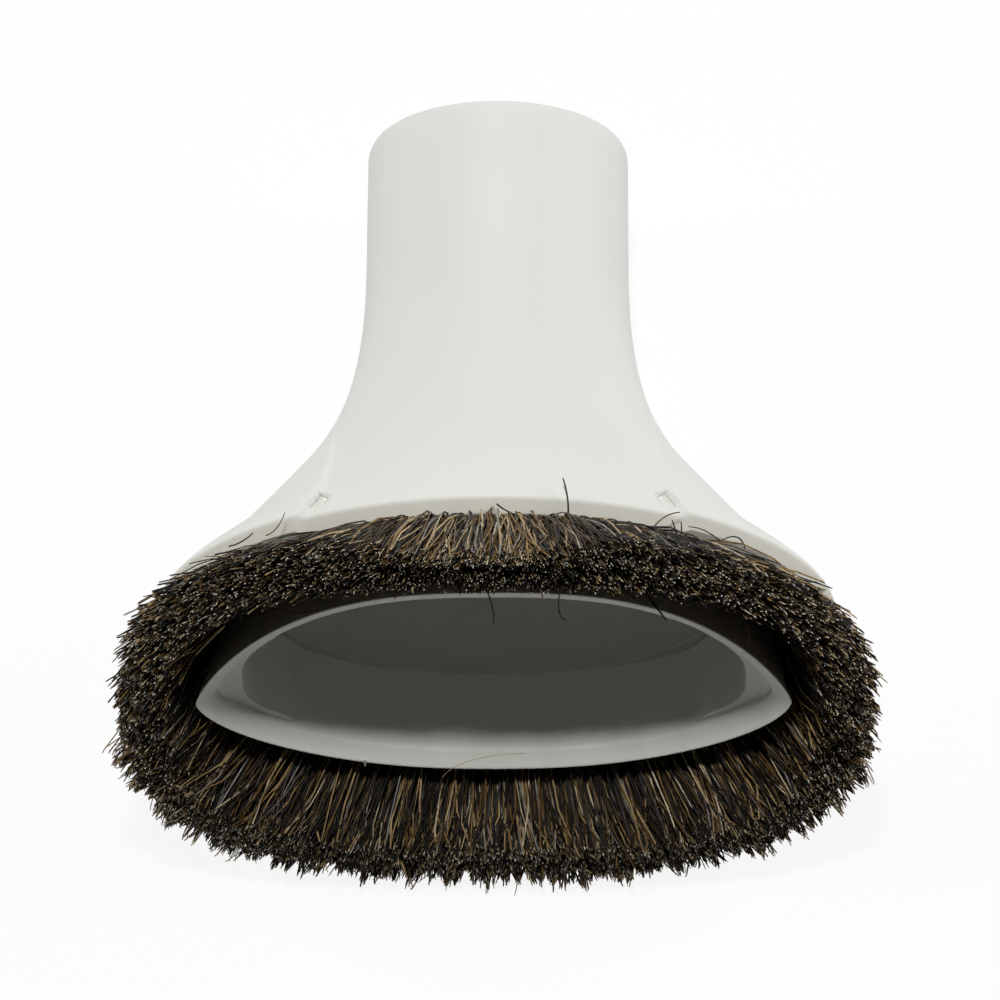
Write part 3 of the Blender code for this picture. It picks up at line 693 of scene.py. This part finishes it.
def tuft_zones():
    """How far every tuft lies in each zone round the mouth, from none, 0, to fully, 1.

    Most are smoothsteps up or along the tips' oval. The front is a bell of the fourth power,
    the corners are held to the fringe, and the ends are the fourth power of the place along.
    """
    across, up = oval_places(TIPS_HALF_LENGTH, TIPS_HALF_HEIGHT, TIPS_FULLNESS).T
    share = across / TIPS_HALF_LENGTH
    edge = ease((EDGE_TOP - up) / EDGE_FADE)
    fringe = ease((FRINGE_TOP - up) / FRINGE_FADE)
    front = np.exp(-(((across - FRONT_CENTRE) / FRONT_HALF_WIDTH) ** 4)) * (up > 0.0)
    left = ease((-share - LEFT_FROM) / LEFT_FADE) * (up > LEFT_FOOT)
    right = ease((share - RIGHT_FROM) / RIGHT_FADE) * (up > RIGHT_FOOT)
    corner = ease(np.abs(across) / CORNER_FADE - CORNER_FROM) * fringe
    ends = np.abs(share) ** 4
    corners = corner * (share < 0.0), corner * (share > 0.0)
    return np.stack([edge, fringe, front, left, right, *corners, ends])


def spread_strands(rng, tuft, edge, front):
    """(start, end, clump, distance from it, outer, edge) of the strands within their tufts.

    Starts are spread evenly, and ends are a mix of even and normal. Each end is drawn towards
    the nearest of its tuft's clumps, and in front the outer ones are drawn in.
    """
    total = len(tuft)
    spot = rng.uniform(-1.0, 1.0, (total, 2))
    fan = spot * EVEN_SPREAD + rng.normal(0.0, 1.0, (total, 2)) * LOOSE_SPREAD
    clumps = rng.uniform(-1.0, 1.0, (TUFT_COUNT, CLUMPS_PER_TUFT, 2)) * CLUMP_SPREAD
    gaps = np.linalg.norm(fan[:, None] - clumps[tuft], axis=2)
    clump = np.argmin(gaps, axis=1)
    edge = edge * ease(fan[:, 0] + EDGE_INSIDE)
    pull = rng.uniform(0.0, CLUMP_PULL, total) + CLUMP_PULL_EDGE * edge
    fan = fan + (clumps[tuft, clump] - fan) * pull[:, None]
    fan = np.clip(fan, *SPREAD_LIMITS)
    outer = fan[:, 0] > 0.0
    fan[:, 0] *= 1.0 - rng.uniform(*FRONT_DRAWN_IN, total) * front * outer
    return spot, fan, clump, gaps.min(axis=1), outer, edge


def strand_curves(rng, start, end, leave, crest, fringe):
    """Points along a cubic from every start to its end, bowed sideways by half a sine.

    The cubic leaves along the hole and arrives straight, both with some wander. The fringe
    wanders more where it arrives, and it and the crest bow more.
    """
    total = len(start)
    span = np.linalg.norm(end - start, axis=1)[:, None]
    first = leave * span + rng.normal(0.0, LEAVE_WANDER, (total, 3)) * span
    more = (1.0 + FRINGE_WANDER * fringe)[:, None]
    last = (end - start) + rng.normal(0.0, ARRIVE_WANDER, (total, 3)) * span * more
    more = (1.0 + BOW_MORE * np.maximum(crest, fringe))[:, None]
    bow = rng.normal(0.0, BOW, (total, 3)) * more
    share = STRAND_PLACES[:, None]
    low = (1.0 + 2.0 * share) * (1.0 - share) ** 2
    points = low * start[:, None] + (1.0 - low) * end[:, None]
    points += share * (1.0 - share) ** 2 * first[:, None]
    points += share * share * (share - 1.0) * last[:, None]
    return points + bow[:, None] * np.sin(math.pi * share)


def strand_marks(rng, crest, fringe, edge, ends):
    """(tone, tint, tip glint) of every strand, at random from 0 to 1.

    Tones are paler in the crest, at the edge and at the two ends; in the crest this is partly
    painted light for the lit outer sides of the front hair. The tip glint is a painted
    highlight on the cut tips, stronger in the fringe.
    """
    total = len(crest)
    tone = rng.uniform(0.0, 1.0, total)
    paler = np.maximum(ENDS_PALER * ends, EDGE_PALER * edge)
    # partly painted light: front outer strands made paler where their sides catch the lamp
    paler = np.maximum(crest * rng.uniform(0.0, FRONT_PAINTED_LIGHT, total), paler)
    # painted highlight: how pale each strand's cut tip is painted, paler still in the fringe
    tint, tip_glint = rng.uniform(0.0, 1.0, (2, total))
    tip_glint = tip_glint + (1.0 - tip_glint) * FRINGE_TIP_GLINT * fringe
    return np.stack([tone + (1.0 - tone) * paler, tint, tip_glint])


def strand_paths(rng):
    """(tuft, points of the middle line, marks) of every strand, in the mouth's plane axes.

    A strand starts in its hole and ends among its tuft's tips. Its length is trimmed at
    random, at the edge by its distance from its clump, in the fringe by a slant, and elsewhere
    by the square of its depth. Tips at the sides and corners are shifted, all stray a little
    and a few stray far. What would go through the floor is lifted on to it.
    """
    tuft = np.repeat(np.arange(TUFT_COUNT), STRANDS_PER_TUFT)
    total = len(tuft)
    hole, tips, leave, arrive, deep, breadth = tuft_lines()[:, tuft]
    edge, fringe, front, left, right, corner_left, corner_right, ends = tuft_zones()[:, tuft]
    spot, fan, clump, gap, outer, edge = spread_strands(rng, tuft, edge, front)
    crest = front * outer
    start = hole + deep * spot[:, :1] * TUFT_RADIUS
    start = start + breadth * spot[:, 1:] * ROOT_HALF_BREADTH - leave * TUFT_SUNK

    trim = rng.normal(0.0, CLUMP_TRIM, (TUFT_COUNT, CLUMPS_PER_TUFT))[tuft, clump]
    trim = trim + rng.normal(0.0, STRAND_TRIM, total) * (1.0 + FRONT_RAGGED * crest)
    trim += edge * (EDGE_LONGER - EDGE_POINTED * gap)
    trim += FRINGE_SLANT * fringe * (fan[:, 0] - FRINGE_LONGEST)
    trim -= CROWN_TRIM * (1.0 - fringe) * fan[:, 0] ** 2
    end = tips + deep * fan[:, :1] * TIP_HALF_DEPTH + breadth * fan[:, 1:] * TIP_HALF_BREADTH
    end = end + arrive * trim[:, None]
    end[:, 0] += LEFT_DRAWN_IN * left
    end[:, 1] -= RIGHT_DRAWN_IN * right * outer
    end[:, 1] += (CORNER_LIFT_LEFT * corner_left + CORNER_LIFT_RIGHT * corner_right) * outer
    wild = rng.uniform(0.0, 1.0, total) < WILD_SHARE
    wander = np.where(wild, WILD_WANDER, TIP_WANDER)[:, None]
    end = end + rng.normal(0.0, 1.0, (total, 3)) * wander

    points = strand_curves(rng, start, end, leave, crest, fringe)
    world_up = np.array([0.0, math.cos(MOUTH_TILT), math.sin(MOUTH_TILT)])
    sunk = np.maximum(0.0, FLOOR_CLEAR - PLACE[2] - points @ world_up)
    points = points + sunk[..., None] * world_up
    return tuft, points, strand_marks(rng, crest, fringe, edge, ends)


def strand_mesh(name, paths, shares, marks, radius, material):
    """Closed three-sided tubes along paths of points, tapered and narrowed at their tips.

    Each ring stands across the path on two directions made from cross products with a fixed
    direction. The strand's tone, tint and tip glint (the painted highlight of its cut tip) and
    the share of its length are kept on its points.
    """
    total, rings = paths.shape[:2]
    heading = np.gradient(paths, axis=1)
    heading /= np.linalg.norm(heading, axis=2)[..., None]
    one = np.cross(heading, RING_HELPER)
    one /= np.linalg.norm(one, axis=2)[..., None]
    two = np.cross(heading, one)
    narrow = np.where(shares == 1.0, STRAND_TIP, 1.0 - STRAND_TAPER * shares**2)
    taper = radius[:, None] * narrow
    turns = np.arange(STRAND_SIDES) * 2.0 * math.pi / STRAND_SIDES
    ring = one[:, :, None] * np.cos(turns)[:, None] + two[:, :, None] * np.sin(turns)[:, None]
    points = paths[:, :, None] + ring * taper[:, :, None, None]
    vertices = mouth_points(*points.reshape(-1, 3).T)
    ring_at, side = np.meshgrid(np.arange(rings - 1), np.arange(STRAND_SIDES), indexing="ij")
    beside = (side + 1) % STRAND_SIDES
    low, high = ring_at * STRAND_SIDES, (ring_at + 1) * STRAND_SIDES
    first = np.stack([low + side, low + beside, high + beside], axis=-1).reshape(-1, 3)
    second = np.stack([low + side, high + beside, high + side], axis=-1).reshape(-1, 3)
    last = (rings - 1) * STRAND_SIDES
    caps = np.array([[2, 1, 0], [last, last + 1, last + 2]])
    pattern = np.concatenate([first, second, caps])
    every = (np.arange(total) * rings * STRAND_SIDES)[:, None, None] + pattern[None]
    thing = add_mesh(name, vertices, every.reshape(-1, 3), material)
    # the third mark is the painted highlight of the strand's cut tip
    layers = dict(zip(("tone", "tint", "tip_glint"), np.repeat(marks, rings * STRAND_SIDES, axis=1)))
    layers["along"] = np.tile(np.repeat(shares, STRAND_SIDES), total)
    for label, values in layers.items():
        layer = thing.data.attributes.new(label, "FLOAT", "POINT")
        layer.data.foreach_set("value", values.astype(np.float32))
    return thing


def new_material(name):
    """(material, its node tree, its Principled shader) with nothing else in it."""
    material = bpy.data.materials.new(name)
    material.use_nodes = True
    tree = material.node_tree
    return material, tree, tree.nodes["Principled BSDF"]


def add_node(tree, kind, **settings):
    """A node of a kind with some of its properties set."""
    node = tree.nodes.new(kind)
    for key, value in settings.items():
        setattr(node, key, value)
    return node


def noise(tree, vector, scale, detail, roughness=0.5):
    """A noise value from a vector, at a scale in waves per metre."""
    node = add_node(tree, "ShaderNodeTexNoise")
    node.inputs["Scale"].default_value = scale
    node.inputs["Detail"].default_value = detail
    node.inputs["Roughness"].default_value = roughness
    tree.links.new(vector, node.inputs["Vector"])
    return node.outputs["Fac"]


def remap(tree, value, low, high, to_low, to_high):
    """A value moved from one range to another and held there."""
    node = add_node(tree, "ShaderNodeMapRange")
    limits = {"From Min": low, "From Max": high, "To Min": to_low, "To Max": to_high}
    for key, number in limits.items():
        node.inputs[key].default_value = number
    tree.links.new(value, node.inputs["Value"])
    return node.outputs["Result"]


def ramp(tree, value, stops):
    """A colour from a value through a list of (place, colour) stops."""
    node = add_node(tree, "ShaderNodeValToRGB")
    while len(node.color_ramp.elements) < len(stops):
        node.color_ramp.elements.new(0.5)
    for element, (place, colour) in zip(node.color_ramp.elements, stops):
        element.position = place
        element.color = (*colour, 1.0)
    tree.links.new(value, node.inputs["Fac"])
    return node.outputs["Color"]


def mix_colour(tree, factor, first, second):
    """A blend of two colours, each a socket or a plain colour."""
    node = add_node(tree, "ShaderNodeMix", data_type="RGBA")
    if isinstance(factor, float):
        node.inputs["Factor"].default_value = factor
    else:
        tree.links.new(factor, node.inputs["Factor"])
    for socket, colour in ((node.inputs["A"], first), (node.inputs["B"], second)):
        if isinstance(colour, tuple):
            socket.default_value = (*colour, 1.0)
        else:
            tree.links.new(colour, socket)
    return node.outputs["Result"]


def math_node(tree, operation, first, second):
    """One arithmetic step between a socket and a socket or number."""
    node = add_node(tree, "ShaderNodeMath", operation=operation)
    for socket, value in zip(node.inputs, (first, second)):
        if isinstance(value, float):
            socket.default_value = value
        else:
            tree.links.new(value, socket)
    return node.outputs["Value"]


def plastic(name, colour, warm, handled=None):
    """Satin moulded plastic: faint mottling, a fine moulded grain and slightly uneven gloss.

    A handled colour tints what stands out beyond the mouth's plane, where it has yellowed.
    """
    material, tree, shader = new_material(name)
    place = add_node(tree, "ShaderNodeTexCoord").outputs["Object"]
    cloud = noise(tree, place, 60.0, 4.0)
    speck = noise(tree, place, 2600.0, 3.0, 0.6)
    fine = noise(tree, place, 900.0, 2.0)
    tint = mix_colour(tree, remap(tree, cloud, 0.35, 0.7, 0.0, 1.0), colour, warm)
    if handled:
        facing = add_node(tree, "ShaderNodeVectorMath", operation="DOT_PRODUCT")
        facing.inputs[1].default_value = MOUTH_OUT
        tree.links.new(place, facing.inputs[0])
        plane = float(PLACE @ MOUTH_OUT)
        beyond = remap(tree, facing.outputs["Value"], plane - 0.3 * MM, plane + 0.3 * MM, 0.0, 1.0)
        tint = mix_colour(tree, beyond, tint, handled)
    dust = remap(tree, speck, 0.70, 0.80, 0.0, 0.05)
    tint = mix_colour(tree, dust, tint, DUST_COLOUR)
    tree.links.new(tint, shader.inputs["Base Color"])
    rough = remap(tree, noise(tree, place, 220.0, 3.0), 0.3, 0.7, 0.52, 0.64)
    tree.links.new(rough, shader.inputs["Roughness"])
    shader.inputs["Specular IOR Level"].default_value = 0.38
    bump = add_node(tree, "ShaderNodeBump")
    bump.inputs["Strength"].default_value = GRAIN_STRENGTH
    bump.inputs["Distance"].default_value = GRAIN_DEPTH
    tree.links.new(math_node(tree, "ADD", speck, fine), bump.inputs["Height"])
    tree.links.new(bump.outputs["Normal"], shader.inputs["Normal"])
    return material


def hair_material():
    """Natural hair: near black to cream by strand, brown or grey by strand, painted highlight on
    cut tips.
    """
    material, tree, shader = new_material("hair_strands")
    tone, tint, tip_glint, along = (
        add_node(tree, "ShaderNodeAttribute", attribute_name=label).outputs["Fac"]
        for label in ("tone", "tint", "tip_glint", "along")
    )
    place = add_node(tree, "ShaderNodeTexCoord").outputs["Object"]
    brown = ramp(
        tree,
        tone,
        (
            (0.0, (0.006, 0.0045, 0.003)),
            (0.44, (0.016, 0.010, 0.005)),
            (0.60, (0.10, 0.055, 0.016)),
            (0.78, (0.26, 0.155, 0.052)),
            (0.92, (0.47, 0.33, 0.16)),
            (1.0, (0.74, 0.64, 0.46)),
        ),
    )
    grey = ramp(
        tree,
        tone,
        (
            (0.0, (0.006, 0.006, 0.006)),
            (0.50, (0.018, 0.019, 0.020)),
            (0.80, (0.085, 0.082, 0.075)),
            (1.0, (0.46, 0.43, 0.38)),
        ),
    )
    base = mix_colour(tree, remap(tree, tint, 0.70, 0.76, 0.0, 1.0), brown, grey)
    patch = remap(tree, noise(tree, place, 500.0, 2.0), 0.40, 0.72, 0.0, 0.6)
    base = mix_colour(tree, patch, base, (0.020, 0.014, 0.008))
    # painted highlight: colours of the cut tips, standing for the light the tip ends catch
    cut = ramp(
        tree,
        tip_glint,
        (
            (0.0, (0.010, 0.009, 0.007)),
            (0.60, (0.022, 0.020, 0.014)),
            (0.70, (0.20, 0.17, 0.10)),
            (0.88, (0.50, 0.45, 0.32)),
            (1.0, (0.92, 0.90, 0.82)),
        ),
    )
    # the painted tip highlight covers the last ring and the tip cap
    base = mix_colour(tree, remap(tree, along, 0.986, 0.996, 0.0, 1.0), base, cut)
    tree.links.new(base, shader.inputs["Base Color"])
    rough = remap(tree, noise(tree, place, 1500.0, 2.0), 0.3, 0.7, 0.42, 0.68)
    tree.links.new(rough, shader.inputs["Roughness"])
    shader.inputs["Specular IOR Level"].default_value = 0.25
    return material


def add_hair(material):
    """Every tuft's strands, in groups of neighbouring tufts."""
    rng = np.random.default_rng(SEED)
    tuft, paths, marks = strand_paths(rng)
    radius = rng.uniform(*STRAND_RADIUS, len(tuft))
    groups = np.array_split(np.arange(TUFT_COUNT), HAIR_PIECES)
    for number, group in enumerate(groups, start=1):
        chosen = (tuft >= group[0]) & (tuft <= group[-1])
        parts = paths[chosen], STRAND_PLACES, marks[:, chosen], radius[chosen]
        piece = strand_mesh(f"hair_{number}", *parts, material)
        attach(piece, "root")
        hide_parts(*[f"tuft_{k + 1:02d}" for k in group])


def add_strays(material):
    """The single hairs that lie across the rim, each on a parabola through its three places."""
    tones = np.array([stray[0] for stray in STRAYS])
    radius = np.array([stray[1] for stray in STRAYS]) * MM
    places = np.array([stray[2:] for stray in STRAYS]) * MM
    shares = STRAY_PLACES
    start = (1.0 - shares) * (1.0 - 2.0 * shares)
    end = shares * (2.0 * shares - 1.0)
    weights = np.stack([start, 4.0 * shares * (1.0 - shares), end])
    paths = np.einsum("wr,nwc->nrc", weights, places)
    # the third mark, the painted tip highlight, follows the tone
    marks = np.stack([tones, np.where(tones < 0.5, 1.0, 0.0), tones])
    piece = strand_mesh("stray_hairs", paths, shares, marks, radius, material)
    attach(piece, "root")


def add_spur(material):
    """The small moulding spur under the lower lip: a round rod narrowing by a power to its tip."""
    turns = np.arange(SPUR_SIDES) * 2.0 * math.pi / SPUR_SIDES
    run = np.linspace(0.0, 1.0, SPUR_ROWS)
    size = (SPUR_RADIUS * (1.0 - run) ** SPUR_TAPER + SPUR_TIP_RADIUS) * MM
    across = SPUR_ACROSS + size[:, None] * np.cos(turns)
    out = lip_reach(SPUR_ACROSS) - SPUR_SUNK + size[:, None] * np.sin(turns)
    rows = mouth_points(across, mouth_centre() - SPUR_BELOW - SPUR_LENGTH * run[:, None], out)
    ends = rows[[0, -1]].mean(axis=1)[:, None] + 0.0 * rows[:2]
    rows = np.concatenate([ends[:1], rows, ends[1:]])
    piece = close_skin("lip_spur", rows[:, ::-1], material, SPUR_SHARP_EDGE)
    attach(piece, "root")


def add_camera():
    """The camera, from its turn, rise and roll about a point on the neck's axis."""
    turn, rise, roll = VIEW_TURN, VIEW_RISE, VIEW_ROLL
    level = math.cos(rise)
    view = Vector((math.sin(turn) * level, math.cos(turn) * level, -math.sin(rise)))
    right = Vector((math.cos(turn), -math.sin(turn), 0.0))
    up = right.cross(view)
    across = right * math.cos(roll) + up * math.sin(roll)
    above = -right * math.sin(roll) + up * math.cos(roll)
    data = bpy.data.cameras.new("camera")
    data.sensor_width = SENSOR_WIDTH
    data.sensor_fit = "HORIZONTAL"
    data.lens = SENSOR_WIDTH * FOCAL_SHARE
    data.shift_x = -SHIFT_RIGHT
    data.shift_y = SHIFT_DOWN
    data.clip_start = 0.01
    data.clip_end = 20.0
    camera = bpy.data.objects.new("camera", data)
    bpy.context.scene.collection.objects.link(camera)
    axes = Matrix((across, above, -view)).transposed()
    place = Vector((0.0, VIEW_AIM, 0.0)) - view * VIEW_DISTANCE + Vector(PLACE)
    camera.matrix_world = Matrix.Translation(place) @ axes.to_4x4()
    bpy.context.scene.camera = camera


def add_lamp(name, place, size, energy):
    """A square soft light that faces the origin."""
    data = bpy.data.lights.new(name, "AREA")
    data.shape = "SQUARE"
    data.size = size
    data.energy = energy
    lamp = bpy.data.objects.new(name, data)
    bpy.context.scene.collection.objects.link(lamp)
    lamp.location = place
    aim = Vector((0.0, 0.0, 0.0)) - Vector(place)
    lamp.rotation_euler = aim.to_track_quat("-Z", "Y").to_euler()


def any_ray(tree, names):
    """One where the ray that sees a surface is of one of the named kinds, else nought."""
    path = add_node(tree, "ShaderNodeLightPath")
    seen = path.outputs[names[0]]
    for name in names[1:]:
        seen = math_node(tree, "MAXIMUM", seen, path.outputs[name])
    return seen


def add_floor():
    """A pale floor that glows for the camera and keeps a faint shadow."""
    material, tree, shader = new_material("studio_floor")
    shader.inputs["Base Color"].default_value = (0.72, 0.72, 0.71, 1.0)
    shader.inputs["Roughness"].default_value = 0.9
    glow = add_node(tree, "ShaderNodeEmission")
    glow.inputs["Color"].default_value = (1.0, 1.0, 1.0, 1.0)
    glow.inputs["Strength"].default_value = FLOOR_GLOW
    blend = add_node(tree, "ShaderNodeMixShader")
    seen = any_ray(tree, ("Is Camera Ray", "Is Glossy Ray", "Is Transmission Ray"))
    share = math_node(tree, "MULTIPLY", seen, FLOOR_GLOW_SHARE)
    tree.links.new(share, blend.inputs["Fac"])
    tree.links.new(shader.outputs["BSDF"], blend.inputs[1])
    tree.links.new(glow.outputs["Emission"], blend.inputs[2])
    tree.links.new(blend.outputs["Shader"], tree.nodes["Material Output"].inputs["Surface"])
    mesh = bpy.data.meshes.new("floor")
    corners = [(-1.0, -1.0), (1.0, -1.0), (1.0, 1.0), (-1.0, 1.0)]
    spots = [(x * FLOOR_HALF, y * FLOOR_HALF, 0.0) for x, y in corners]
    mesh.from_pydata(spots, [], [(0, 1, 2, 3)])
    mesh.materials.append(material)
    floor = bpy.data.objects.new("floor", mesh)
    floor.location = (0.0, 0.0, hood_low[2] - FLOOR_BELOW)
    bpy.context.scene.collection.objects.link(floor)


def add_surround():
    """A surround that looks white and gives only a little light."""
    world = bpy.data.worlds.new("surround")
    world.use_nodes = True
    bpy.context.scene.world = world
    tree = world.node_tree
    seen = any_ray(tree, ("Is Camera Ray", "Is Transmission Ray"))
    soft = tree.nodes["Background"]
    soft.inputs["Color"].default_value = (1.0, 1.0, 1.0, 1.0)
    soft.inputs["Strength"].default_value = SURROUND_LIGHT
    white = add_node(tree, "ShaderNodeBackground")
    white.inputs["Color"].default_value = (1.0, 1.0, 1.0, 1.0)
    white.inputs["Strength"].default_value = 1.0
    blend = add_node(tree, "ShaderNodeMixShader")
    tree.links.new(seen, blend.inputs["Fac"])
    tree.links.new(soft.outputs["Background"], blend.inputs[1])
    tree.links.new(white.outputs["Background"], blend.inputs[2])
    tree.links.new(blend.outputs["Shader"], tree.nodes["World Output"].inputs["Surface"])


add_camera()
add_floor()
add_surround()
for lamp in LAMPS:
    add_lamp(*lamp)

body_plastic = plastic("hood_plastic_look", *HOOD_COLOURS)
insert_plastic = plastic("insert_plastic_look", *INSERT_COLOURS)

hood = hood_skin(body_plastic)
cut_windows(hood)
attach(hood, "root")
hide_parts("nozzle_hood")

insert = insert_skin(insert_plastic)
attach(insert, "root")
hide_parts("lip_insert")

latch_points, latch_quads = wedges(
    WINDOW_WIDTH - 2.0 * LATCH_GAP,
    -0.5 * HOOD_WALL - SEAT_GAP - LATCH_ROOT,
    0.5 * HOOD_WALL - LATCH_SUNK,
    0.5 * HOOD_WALL - LATCH_SUNK - LATCH_RAMP,
    WINDOW_LENGTH - 2.0 * LATCH_GAP,
)
latches = add_mesh("latches", latch_points, latch_quads, insert_plastic)
latches.data.set_sharp_from_angle(angle=LATCH_SHARP_EDGE)
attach(latches, "root")

hair_look = hair_material()
add_hair(hair_look)
add_strays(hair_look)
add_spur(insert_plastic)

bpy.context.scene.view_settings.view_transform = "Standard"
